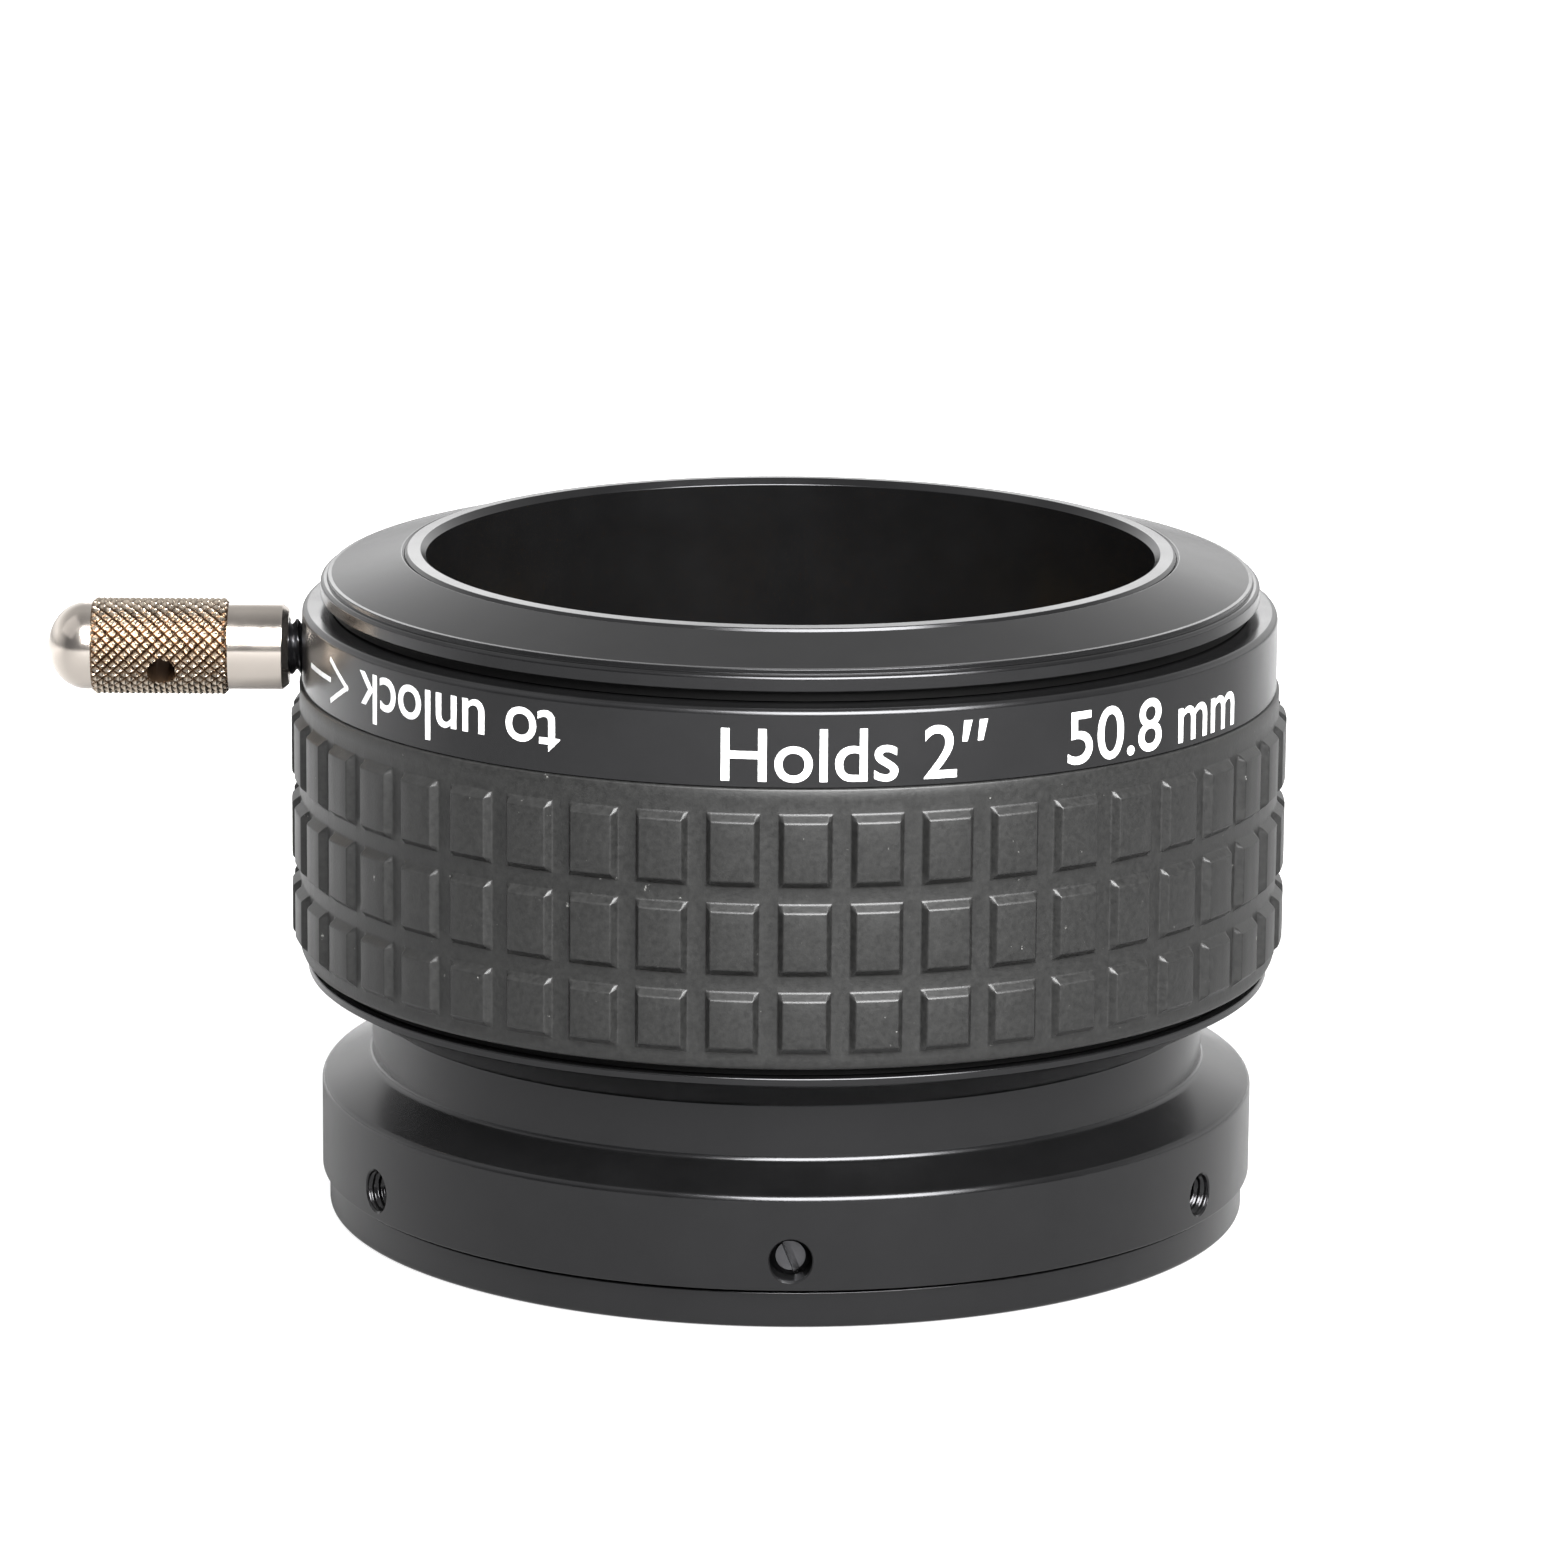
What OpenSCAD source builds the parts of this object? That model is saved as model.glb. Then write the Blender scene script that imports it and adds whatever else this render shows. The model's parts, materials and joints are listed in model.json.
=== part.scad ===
// Twist-lock clamp for 2 inch eyepieces and nosepieces.
// The base ring screws to the telescope. The clamp body turns on the base ring when its grub
// screws are loosened. Turning the rubber-covered sleeve runs three rollers up their cams, and
// they push three brass segments onto the barrel.
// Frame: origin on the optical axis at the base ring's bottom face, +Z towards the eyepiece,
// the lever along -X, the screw side along -Y.

/* [Bore] */
// Diameter of the eyepiece bore
bore_d = 51; // [50.9:0.05:51.1]
// Minor diameter of the telescope-side thread
thread_minor_d = 54.92; // [54:0.02:56]

/* [Outer sizes] */
// Outer diameter of the base ring
base_d = 64.9; // [64:0.1:65.5]
// Outer diameter of the skirt
skirt_d = 65.9; // [65.6:0.1:66.4]
// Diameter of the neck
neck_d = 58.8; // [58.4:0.1:59]
// Diameter of the flange under the sleeve
flange_d = 67.8; // [67:0.1:68.4]
// Diameter of the sleeve's printed band
band_d = 68.4; // [68:0.1:69]
// Diameter of the rubber grip between its pads
rubber_d = 68.8; // [68.6:0.1:69.2]
// Height of the pads above the rubber
pad_h = 0.58; // [0.2:0.02:0.7]
// Diameter of the front ring
ring_d = 65.8; // [65:0.1:66.4]

/* [Heights] */
// Height of the base ring's visible rim
rim_h = 2.5; // [2:0.1:2.6]
// Top of the skirt's cylinder
skirt_top = 9.05; // [8.9:0.05:9.4]
// Top of the flange, where the sleeve starts
flange_top = 17.8; // [17.6:0.05:18]
// Bottom of the printed band
band_bottom = 37.78; // [37.6:0.02:38]
// Top of the sleeve
sleeve_top = 43.08; // [43:0.02:43.2]
// Bottom of the front ring
ring_bottom = 43.9; // [43.8:0.02:44]
// Top of the lip around the bore
lip_top = 47; // [46.9:0.05:47.2]

/* [Grip] */
// Pads in each row around the grip
pad_count = 45; // [40:1:50]
// Share of the pitch that a pad fills
pad_fill = 0.74; // [0.5:0.02:0.8]
// Turn of the first pad from -Y
pad_phase = 1.22; // [0:0.02:7]

/* [Clamp] */
// Turn of the sleeve from released to locked, in degrees
lock_turn = 25; // [20:1:28]
// Inward travel of the brass segments over that turn
segment_travel = 0.4; // [0.3:0.05:0.45]
// Height of the middle of the segments
segment_z = 30; // [29:0.5:31]
// Height of the brass segments
segment_h = 8; // [6:0.5:9]
// Arc covered by one segment, in degrees
segment_arc = 100; // [90:1:102]
// Diameter of the rollers
roller_d = 3; // [2.8:0.1:3.2]

/* [Lever] */
// Height of the lever's axis
lever_z = 39.75; // [39.5:0.05:40.2]
// Distance from the optical axis to the lever's tip
lever_reach = 52.04; // [50:0.02:54]
// Diameter of the knurled length
knurl_d = 6.8; // [6.4:0.1:7.2]
// Length of the knurled part
knurl_l = 9.56; // [9:0.02:10]
// Diameter of the plain collar
collar_d = 5.9; // [5.6:0.1:6.2]
// Length of the collar
collar_l = 4.35; // [4:0.05:4.6]
// Diameter of the domed tip
dome_d = 6.04; // [5.8:0.02:6.3]
// Diameter of the lever's stud
stud_d = 4; // [3.6:0.1:4.2]

/* [Grub screws] */
// Height of the grub screws
grub_z = 4.8; // [4.6:0.05:5]
// Diameter of the grub screws
grub_d = 2.9; // [2.5:0.1:3]
// Tapped holes around the skirt
grub_holes = 6; // [3:3:6]

/* [Hidden] */
$fn = 96;
slack = 0.02;          // gap between fixed pieces that touch
running = 0.05;        // radial clearance of the parts that turn
over = 1;              // how far a cut runs past the surface it opens
edge = 0.15;           // small chamfer on turned edges
bore_r = bore_d / 2;
tube_r = 29.5;         // outside of the bore tube, under the sleeve
cap_thread_r = 28.5;   // thread that carries the front ring
lip_r = 27;            // outside of the lip above the front ring
spigot_r = 30.4;       // part of the base ring inside the skirt
spigot_top = 8.5;
groove_half = 1.1;     // half width of the base ring's V groove
parting_gap = 0.22;    // between the base ring's rim and the skirt
grub_sunk = 1.5;       // depth of the grub screws' heads below the skirt
skirt_bottom = rim_h + parting_gap;
skirt_lip = 0.25;      // width of the bevel at the top of the skirt
neck_bottom = 10.95;
neck_top = 14.7;
neck_fillet = 0.6;
cone_r = 33.7;         // where the flange's conical underside ends
cone_top = 17.15;
sleeve_bottom = flange_top + 0.55;
rubber_bottom = sleeve_bottom + 0.1;
rubber_top = band_bottom - 0.07;
rubber_edge = 0.35;
seat_r = 33.2;         // sleeve surface under the rubber
shoulder_w = 1.05;     // width of the rounded shoulder at the top of the band
shoulder_h = 0.42;
washer_gap = 0.05;
washer_seat = sleeve_top + 0.08;   // shoulder under the upper washer
ring_cone_r = 32.3;    // outer end of the front ring's conical face
ring_cone_low = 45.34;
ring_cone_high = 46.8;
ring_rim_top = 44.95;
lip_crest = 1.1;       // from the outside of the lip to its crest
lip_chamfer = 0.5;     // depth of the chamfer into the bore

segment_back = 27.4;
segment_gap = 0.1;      // clearance round the segments and rollers in their openings
recess_r = segment_back + segment_gap;
roller_r = roller_d / 2;
roller_at = segment_back + roller_r + slack;
roller_l = segment_h - 0.4;
roller_edge = 0.2;
cam_slack = 0.04;
cam_margin = 0.3;       // height of a cam pocket above and below the segments
cam_lead = 5;           // turn beyond each end of the cam, in degrees
cam_rest_r = roller_at + roller_r + cam_slack;
stations = [90, 210, 330];      // azimuth of the rollers
spring_azimuths = [30, 150, 270];
wire_r = 0.15;                  // half the thickness of the springs' wire

detent_r = 31.5;
detent_ball_r = 1;
detent_ball_z = flange_top + 0.7;
detent_az = 60;
detent_hole_r = 1.05;
detent_hole_top = 23.6;
track_gap = 0.08;       // clearance of the ball in its track
dimple_depth = 0.06;    // how far the dimples go below the track
stop_az = 120;
stop_r = 1;
stop_z = 20.2;
stop_seat = 26.5;       // bottom of the stop pin's hole
stop_reach = 31;        // outer end of the stop pin
notch_gap = 0.4;        // clearance round the stop pin in the sleeve's notch

knurl_in = lever_reach - dome_d / 2 - knurl_l;
collar_in = knurl_in - collar_l;
stud_in = 29.9;         // inner end of the stud
socket_l = 6;           // depth of the stud's hole in the lever
tommy_d = 2;
tommy_tilt = 23;        // slope of the tommy-bar hole below the horizontal

// start, above the bottom of the rubber, and height of each row of pads
pad_rows = [[1.15, 4.2], [6.5, 4.9], [12.55, 4.97]];
pad_bevel = 0.6;       // turn taken up by each sloping side of a pad, in degrees

// A body of revolution from [radius, height] points.
module turned(points) {
    rotate_extrude() polygon(points);
}

// A ring between two radii and two heights.
module ring(inner, outer, low, high) {
    translate([0, 0, low]) difference() {
        cylinder(r = outer, h = high - low);
        translate([0, 0, -1]) cylinder(r = inner, h = high - low + 2);
    }
}

// A cylinder along a radius, from one distance to another.
module radial(az, z, from, to, r) {
    rotate([0, 0, az]) translate([from, 0, z]) rotate([0, 90, 0]) cylinder(r = r, h = to - from);
}

// Points on an arc about the axis, between two azimuths.
function arc(r, from, to, steps) =
    [for (i = [0:steps]) let (a = from + (to - from) * i / steps) [r * cos(a), r * sin(a)]];

// An arc-shaped block, centred on an azimuth.
module sector(inner, outer, low, high, az, width) {
    intersection() {
        ring(inner, outer, low, high);
        linear_extrude(height = high + 1)
            polygon(concat([[0, 0]], arc(outer * 1.6, az - width / 2, az + width / 2, 8)));
    }
}

module base_ring() {
    thread_r = thread_minor_d / 2;
    rim_r = base_d / 2;
    groove_r = spigot_r - groove_half;
    color([0.07, 0.07, 0.075]) turned([
        [thread_r, 0], [rim_r - 2 * edge, 0], [rim_r, 2 * edge],
        [rim_r, rim_h - edge], [rim_r - edge, rim_h],
        [spigot_r, rim_h], [spigot_r, grub_z - groove_half], [groove_r, grub_z],
        [spigot_r, grub_z + groove_half], [spigot_r, spigot_top - edge],
        [spigot_r - edge, spigot_top], [thread_r, spigot_top]
    ]);
}

module clamp_body() {
    socket_r = spigot_r + running;
    socket_top = spigot_top + 0.1;
    skirt_r = skirt_d / 2;
    neck_r = neck_d / 2;
    flange_r = flange_d / 2;
    recess_half = segment_h / 2 + segment_gap;
    window_w = roller_d + segment_gap;
    window_h = roller_l + 2 * segment_gap;
    color([0.07, 0.07, 0.075]) difference() {
        turned([
            [socket_r, skirt_bottom], [skirt_r - edge, skirt_bottom],
            [skirt_r, skirt_bottom + edge], [skirt_r, skirt_top],
            [skirt_r - skirt_lip, skirt_top + skirt_lip],
            [neck_r + neck_fillet, neck_bottom - 0.7 * neck_fillet],
            [neck_r + 0.3 * neck_fillet, neck_bottom - 0.27 * neck_fillet],
            [neck_r, neck_bottom + 0.33 * neck_fillet],
            [neck_r, neck_top], [neck_r + edge, neck_top + edge / 2],
            [cone_r, cone_top], [flange_r, cone_top + edge],
            [flange_r, flange_top - edge], [flange_r - edge, flange_top],
            [tube_r, flange_top], [tube_r, washer_seat], [cap_thread_r, washer_seat],
            [cap_thread_r, ring_cone_low], [lip_r, ring_cone_low],
            [lip_r, lip_top - lip_chamfer], [lip_r - 0.2 * lip_crest, lip_top - 0.4 * lip_chamfer],
            [lip_r - 0.55 * lip_crest, lip_top - 0.1 * lip_chamfer],
            [lip_r - lip_crest, lip_top], [bore_r, lip_top - lip_chamfer],
            [bore_r, socket_top], [socket_r, socket_top]
        ]);
        // recess for the brass segments, and a window for each roller
        ring(bore_r - over, recess_r, segment_z - recess_half, segment_z + recess_half);
        for (az = stations) rotate([0, 0, az])
            translate([recess_r - over, -window_w / 2, segment_z - window_h / 2])
                cube([tube_r - recess_r + 2 * over, window_w, window_h]);
        // tapped holes of the grub screws
        for (i = [0:grub_holes - 1])
            radial(-90 + i * 360 / grub_holes, grub_z, socket_r - over, skirt_r + over, grub_d / 2);
        // seat of the stop pin
        radial(stop_az, stop_z, stop_seat, tube_r + over, stop_r);
        // detent track in the flange, with a dimple at each end of the turn
        rotate([0, 0, detent_az - lock_turn]) rotate_extrude(angle = lock_turn)
            translate([detent_r, detent_ball_z]) circle(r = detent_ball_r + track_gap);
        for (az = [detent_az - lock_turn, detent_az]) rotate([0, 0, az])
            translate([detent_r, 0, detent_ball_z - dimple_depth])
                sphere(r = detent_ball_r + track_gap);
    }
}

// A slotted screw with a cone point that rests in the base ring's groove.
module grub_screw(az) {
    point_r = 0.12;
    tip = spigot_r - groove_half + 0.25;
    shank_r = grub_d / 2 - slack;
    end = skirt_d / 2 - grub_sunk;
    slot_w = 0.5;
    slot_depth = 0.6;
    slot_turn = 68;
    color([0.3, 0.3, 0.3]) rotate([0, 0, az]) translate([0, 0, grub_z]) rotate([0, 90, 0]) difference() {
        turned([
            [0, tip], [point_r, tip], [shank_r, tip + shank_r - point_r],
            [shank_r, end - edge], [shank_r - edge, end], [0, end]
        ]);
        rotate([0, 0, slot_turn]) translate([-slot_w / 2, -grub_d, end - slot_depth])
            cube([slot_w, 2 * grub_d, slot_depth + over]);
    }
}
module grub_screw_front() { grub_screw(-90); }
module grub_screw_right() { grub_screw(30); }
module grub_screw_left() { grub_screw(150); }

// Pocket in the sleeve whose wall closes in by the segments' travel over the lock turn.
module cam_pocket(az) {
    steps = 20;
    span = lock_turn + 2 * cam_lead;
    share = function(a) min(max(a, 0), lock_turn) / lock_turn;
    wall = function(a) cam_rest_r - segment_travel * share(a);
    linear_extrude(height = segment_h + 2 * cam_margin) polygon(concat(
        [for (i = [0:steps]) let (a = -cam_lead + span * i / steps)
            [wall(a) * cos(az + a), wall(a) * sin(az + a)]],
        arc(tube_r - over, az + lock_turn + cam_lead, az - cam_lead, steps)
    ));
}

module twist_sleeve() {
    band_r = band_d / 2;
    bore = tube_r + running;
    pin_half = asin((stop_r + running) / bore) + 0.3;
    color([0.08, 0.08, 0.085]) difference() {
        turned([
            [bore, sleeve_bottom], [seat_r, sleeve_bottom], [seat_r, band_bottom - running],
            [band_r - 2 * running, band_bottom - running], [band_r, band_bottom + running],
            [band_r, sleeve_top - shoulder_h],
            [band_r - 0.06 * shoulder_w, sleeve_top - 0.64 * shoulder_h],
            [band_r - 0.2 * shoulder_w, sleeve_top - 0.36 * shoulder_h],
            [band_r - shoulder_w, sleeve_top], [bore, sleeve_top]
        ]);
        for (az = stations) translate([0, 0, segment_z - segment_h / 2 - cam_margin]) cam_pocket(az);
        // tapped hole of the lever stud
        radial(180, lever_z, bore - over, band_r + over, stud_d / 2);
        // hole of the detent ball and its spring
        rotate([0, 0, detent_az]) translate([detent_r, 0, sleeve_bottom - over])
            cylinder(r = detent_hole_r, h = detent_hole_top - sleeve_bottom + over);
        // notch that the stop pin runs in
        rotate([0, 0, stop_az - pin_half])
            rotate_extrude(angle = lock_turn + 2 * pin_half)
                translate([bore - over, sleeve_bottom - over])
                    square([stop_reach + notch_gap / 2 - bore + over,
                            stop_z + stop_r + notch_gap - sleeve_bottom + over]);
    }
}

// Outline of one row of pads: a ring with raised teeth.
module pad_row(low, high) {
    half = 180 / pad_count * pad_fill;
    base_r = rubber_d / 2;
    root_r = base_r - 0.3;
    top_r = base_r + pad_h;
    translate([0, 0, low]) linear_extrude(height = high - low) polygon([
        for (i = [0:pad_count - 1]) let (a = -90 + pad_phase + i * 360 / pad_count)
            for (p = [[root_r, -half], [base_r, -half], [top_r, -half + pad_bevel],
                      [top_r, half - pad_bevel], [base_r, half], [root_r, half]])
                [p[0] * cos(a + p[1]), p[0] * sin(a + p[1])]
    ]);
}

module rubber_grip() {
    base_r = rubber_d / 2;
    color([0.2, 0.2, 0.2]) difference() {
        union() {
            turned([
                [seat_r - over, rubber_bottom], [base_r - rubber_edge, rubber_bottom],
                [base_r, rubber_bottom + rubber_edge], [base_r, rubber_top - edge],
                [base_r - edge, rubber_top], [seat_r - over, rubber_top]
            ]);
            for (row = pad_rows) pad_row(rubber_bottom + row[0], rubber_bottom + row[0] + row[1]);
        }
        translate([0, 0, rubber_bottom - over])
            cylinder(r = seat_r + slack, h = rubber_top - rubber_bottom + 2 * over);
    }
}

module lower_slip_washer() {
    color([0.1, 0.1, 0.1]) difference() {
        ring(tube_r + running, cone_r - 0.5, flange_top + washer_gap, sleeve_bottom - slack);
        rotate([0, 0, detent_az]) translate([detent_r, 0, flange_top - over])
            cylinder(r = detent_hole_r + track_gap, h = sleeve_bottom - flange_top + 2 * over);
        sector(tube_r - over, stop_reach + notch_gap, flange_top - over, sleeve_bottom + over,
            stop_az + lock_turn / 2, lock_turn + 8);
    }
}

module upper_slip_washer() {
    color([0.1, 0.1, 0.1])
        ring(cap_thread_r + slack, 32.2, washer_seat + slack, ring_bottom - slack);
}

module front_ring() {
    r = ring_d / 2;
    color([0.07, 0.07, 0.075]) turned([
        [cap_thread_r + slack, ring_bottom], [r - edge, ring_bottom], [r, ring_bottom + edge],
        [r, ring_rim_top - edge / 3], [r - edge / 2, ring_rim_top + edge / 2],
        [ring_cone_r + 2 * edge, ring_rim_top + 1.5 * edge],
        [ring_cone_r, ring_cone_low - edge / 3], [ring_cone_r - edge, ring_cone_low + edge / 3],
        [lip_r + 2 * edge, ring_cone_high], [lip_r + slack, ring_cone_high - edge],
        [lip_r + slack, ring_cone_low + slack], [cap_thread_r + slack, ring_cone_low + slack]
    ]);
}

module clamp_segment(az) {
    color([0.78, 0.62, 0.3])
        sector(bore_r, segment_back, segment_z - segment_h / 2, segment_z + segment_h / 2, az, segment_arc);
}
module clamp_segment_1() { clamp_segment(stations[0]); }
module clamp_segment_2() { clamp_segment(stations[1]); }
module clamp_segment_3() { clamp_segment(stations[2]); }

module roller(az) {
    color([0.75, 0.75, 0.77]) rotate([0, 0, az]) translate([roller_at, 0, segment_z - roller_l / 2])
        turned([
            [0, 0], [roller_r - roller_edge, 0], [roller_r, roller_edge],
            [roller_r, roller_l - roller_edge], [roller_r - roller_edge, roller_l], [0, roller_l]
        ]);
}
module roller_1() { roller(stations[0]); }
module roller_2() { roller(stations[1]); }
module roller_3() { roller(stations[2]); }

// Round wire wound along +Z from z = 0, as a closed tube swept along a helix.
module coil(mean_r, wire_r, length, turns) {
    sides = 5;
    per_turn = 12;
    n = turns * per_turn;
    rise = length - 2 * wire_r;
    function spot(i, j) =
        let (a = 360 * i / per_turn, b = 360 * j / sides, r = mean_r + wire_r * cos(b))
        [r * cos(a), r * sin(a), wire_r + rise * i / n + wire_r * sin(b)];
    polyhedron(
        points = [for (i = [0:n]) for (j = [0:sides - 1]) spot(i, j)],
        faces = concat(
            [[for (j = [0:sides - 1]) j]],
            [for (i = [0:n - 1]) for (j = [0:sides - 1]) let (k = (j + 1) % sides)
                [i * sides + j, (i + 1) * sides + j, (i + 1) * sides + k, i * sides + k]],
            [[for (j = [sides - 1:-1:0]) n * sides + j]]
        )
    );
}

// One spring in each gap between two segments, set at its locked length.
module segment_springs() {
    mean_r = 0.5;
    length = 8.2;
    turns = 7;
    middle = recess_r - 1.16;
    color([0.7, 0.7, 0.72]) for (az = spring_azimuths)
        rotate([0, 0, az]) translate([middle, length / 2, segment_z]) rotate([90, 0, 0])
            coil(mean_r, wire_r, length, turns);
}

module stop_pin() {
    color([0.75, 0.75, 0.77]) radial(stop_az, stop_z, stop_seat + running, stop_reach, stop_r - slack);
}

module detent_ball() {
    color([0.8, 0.8, 0.82]) rotate([0, 0, detent_az]) translate([detent_r, 0, detent_ball_z])
        sphere(r = detent_ball_r);
}

module detent_spring() {
    mean_r = 0.75;
    turns = 6;
    low = detent_ball_z + detent_ball_r + running;
    color([0.7, 0.7, 0.72]) rotate([0, 0, detent_az]) translate([detent_r, 0, low])
        coil(mean_r, wire_r, detent_hole_top - running - low, turns);
}

module lever_handle() {
    dome_r = dome_d / 2;
    knurl_r = knurl_d / 2;
    collar_r = collar_d / 2;
    dome_in = lever_reach - dome_r;
    socket_end = collar_in + socket_l;
    rounding = 0.4;
    chamfer = 0.3;
    color([0.75, 0.7, 0.62]) translate([0, 0, lever_z]) difference() {
        rotate([0, -90, 0]) union() {
            turned([
                [0, collar_in], [collar_r - rounding, collar_in], [collar_r, collar_in + rounding],
                [collar_r, knurl_in], [knurl_r - chamfer, knurl_in],
                [knurl_r, knurl_in + chamfer], [knurl_r, dome_in - chamfer], [knurl_r - chamfer, dome_in],
                [0, dome_in]
            ]);
            translate([0, 0, dome_in]) difference() {
                sphere(r = dome_r);
                translate([0, 0, -dome_r - over]) cylinder(r = dome_r + over, h = dome_r + over);
            }
        }
        // blind hole for the stud, and the tommy-bar hole
        translate([-socket_end, 0, 0]) rotate([0, 90, 0])
            cylinder(r = stud_d / 2 + slack, h = socket_end - collar_in + over);
        translate([-(knurl_in + dome_in) / 2, 0, 0]) rotate([90 + tommy_tilt, 0, 0])
            translate([0, 0, -knurl_d]) cylinder(d = tommy_d, h = 2 * knurl_d);
    }
}

module lever_stud() {
    r = stud_d / 2 - slack;
    end = collar_in + socket_l - 0.3;
    chamfer = 0.3;
    color([0.12, 0.12, 0.12]) translate([0, 0, lever_z]) rotate([0, -90, 0]) turned([
        [0, stud_in], [r - chamfer, stud_in], [r, stud_in + chamfer],
        [r, end - chamfer], [r - chamfer, end], [0, end]
    ]);
}

base_ring();
clamp_body();
grub_screw_front();
grub_screw_right();
grub_screw_left();
twist_sleeve();
rubber_grip();
lower_slip_washer();
upper_slip_washer();
front_ring();
clamp_segment_1();
clamp_segment_2();
clamp_segment_3();
roller_1();
roller_2();
roller_3();
segment_springs();
stop_pin();
detent_ball();
detent_spring();
lever_handle();
lever_stud();
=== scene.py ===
"""Looks of a twist-lock clamp for 2 inch eyepieces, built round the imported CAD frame.

Lengths are millimetres in the row frame until a mesh is made, which scales them to metres.
Turned parts are lathed from outlines whose driving sizes are read from the CAD nodes.
"""
import json
import math

import bmesh
import bpy
import numpy as np
from mathutils import Matrix, Vector


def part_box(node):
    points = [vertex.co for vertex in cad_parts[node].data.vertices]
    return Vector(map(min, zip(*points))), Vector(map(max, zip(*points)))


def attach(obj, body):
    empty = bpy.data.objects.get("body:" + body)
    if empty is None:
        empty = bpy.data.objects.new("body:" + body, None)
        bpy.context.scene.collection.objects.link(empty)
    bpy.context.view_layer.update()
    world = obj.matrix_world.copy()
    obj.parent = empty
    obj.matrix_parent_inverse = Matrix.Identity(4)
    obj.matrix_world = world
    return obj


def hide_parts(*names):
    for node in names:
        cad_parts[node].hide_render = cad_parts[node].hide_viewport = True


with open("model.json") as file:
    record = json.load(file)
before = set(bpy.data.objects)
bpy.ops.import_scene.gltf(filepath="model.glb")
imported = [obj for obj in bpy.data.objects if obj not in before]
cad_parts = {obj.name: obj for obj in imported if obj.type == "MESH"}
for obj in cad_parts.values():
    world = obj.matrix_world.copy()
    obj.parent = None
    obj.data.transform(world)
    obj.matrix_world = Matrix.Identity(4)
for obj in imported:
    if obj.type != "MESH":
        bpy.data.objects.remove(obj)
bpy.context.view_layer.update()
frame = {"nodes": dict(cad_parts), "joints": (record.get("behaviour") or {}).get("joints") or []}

MM = 0.001
TINY = 1e-6                               # mm, below which two points are one
STEPS = 432        # segments round a turned part
ARC_STEPS = 6                             # segments in each rounded corner
VIEW_TURN = 0.67                          # degrees the camera stands off the screw side, towards -X


# ---------------------------------------------------------------- sizes read from the frame

def span(node, axis):
    """Lowest and highest coordinate of a CAD node along an axis, in mm."""
    low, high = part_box(node)
    return low[axis] / MM, high[axis] / MM


def widest(node, low, high):
    """Largest radius of a CAD node between two heights, in mm."""
    points = [v.co / MM for v in frame["nodes"][node].data.vertices]
    return max(math.hypot(p.x, p.y) for p in points if low <= p.z <= high)


def narrowest(node, low, high):
    """Smallest radius of a CAD node between two heights, in mm."""
    points = [v.co / MM for v in frame["nodes"][node].data.vertices]
    return min(math.hypot(p.x, p.y) for p in points if low <= p.z <= high)


def slide_azimuth(joint):
    """Direction in degrees round the optical axis in which a joint slides."""
    x, y, _ = next(j["axis"] for j in frame["joints"] if j["name"] == joint)
    return math.degrees(math.atan2(y, x))


STATIONS = [slide_azimuth(f"segment_{i}_close") for i in (1, 2, 3)]
GRUB_AZIMUTH = {side: slide_azimuth(f"grub_{side}_loosen") for side in ("front", "right", "left")}

BORE_R = narrowest("clamp_body", 9, 47)
LIP_TOP = span("clamp_body", 2)[1]
SKIRT_BOTTOM = span("clamp_body", 2)[0]
SKIRT_R = widest("clamp_body", 3, 9.2)
FLANGE_R = widest("clamp_body", 16, 18)
TUBE_R = widest("clamp_body", 20, 43)
CAP_THREAD_R = widest("clamp_body", 44, 45.4)
LIP_R = widest("clamp_body", 46, LIP_TOP)
SOCKET_R = widest("base_ring", 7, 9) + 0.05
NECK_R = widest("clamp_body", 11.1, 14.72)
FLANGE_TOP = span("lower_slip_washer", 2)[0] - 0.05
BASE_R = widest("base_ring", 0, 2.6)
THREAD_R = narrowest("base_ring", 0, 9)
SPIGOT_TOP = span("base_ring", 2)[1]
SLEEVE_LOW, SLEEVE_TOP = span("twist_sleeve", 2)
BAND_R = widest("twist_sleeve", 38, 43)
SEAT_R = widest("twist_sleeve", 18, 19)
GRIP_LOW, GRIP_TOP = span("rubber_grip", 2)
PAD_TOP_R = widest("rubber_grip", 19, 37)
RING_LOW, RING_TOP = span("front_ring", 2)
RING_R = widest("front_ring", 43, 45)
LEVER_TIP, LEVER_IN = (-x for x in span("lever_handle", 0))
LEVER_Z = sum(span("lever_handle", 2)) / 2
KNURL_R = (span("lever_handle", 1)[1] - span("lever_handle", 1)[0]) / 2
KNURL_DEPTH = 0.3                         # how far the knurl's grooves go in
KNURL_CHAMFER = 0.3                       # height of the chamfer at each end of the knurl
ROLLER_Z = sum(span("roller_1", 2)) / 2
RING_SEAT = 45.36                         # height of the shoulder that the front ring rests on
HOLES = [-90 + 60 * i for i in range(6)]  # azimuths of the tapped holes round the skirt
GRUB_Z = sum(span("grub_screw_front", 2)) / 2
GRUB_R = (span("grub_screw_front", 2)[1] - span("grub_screw_front", 2)[0]) / 2
GRUB_IN, GRUB_OUT = (-y for y in reversed(span("grub_screw_front", 1)))


# ---------------------------------------------------------------- outlines and turned meshes

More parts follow.
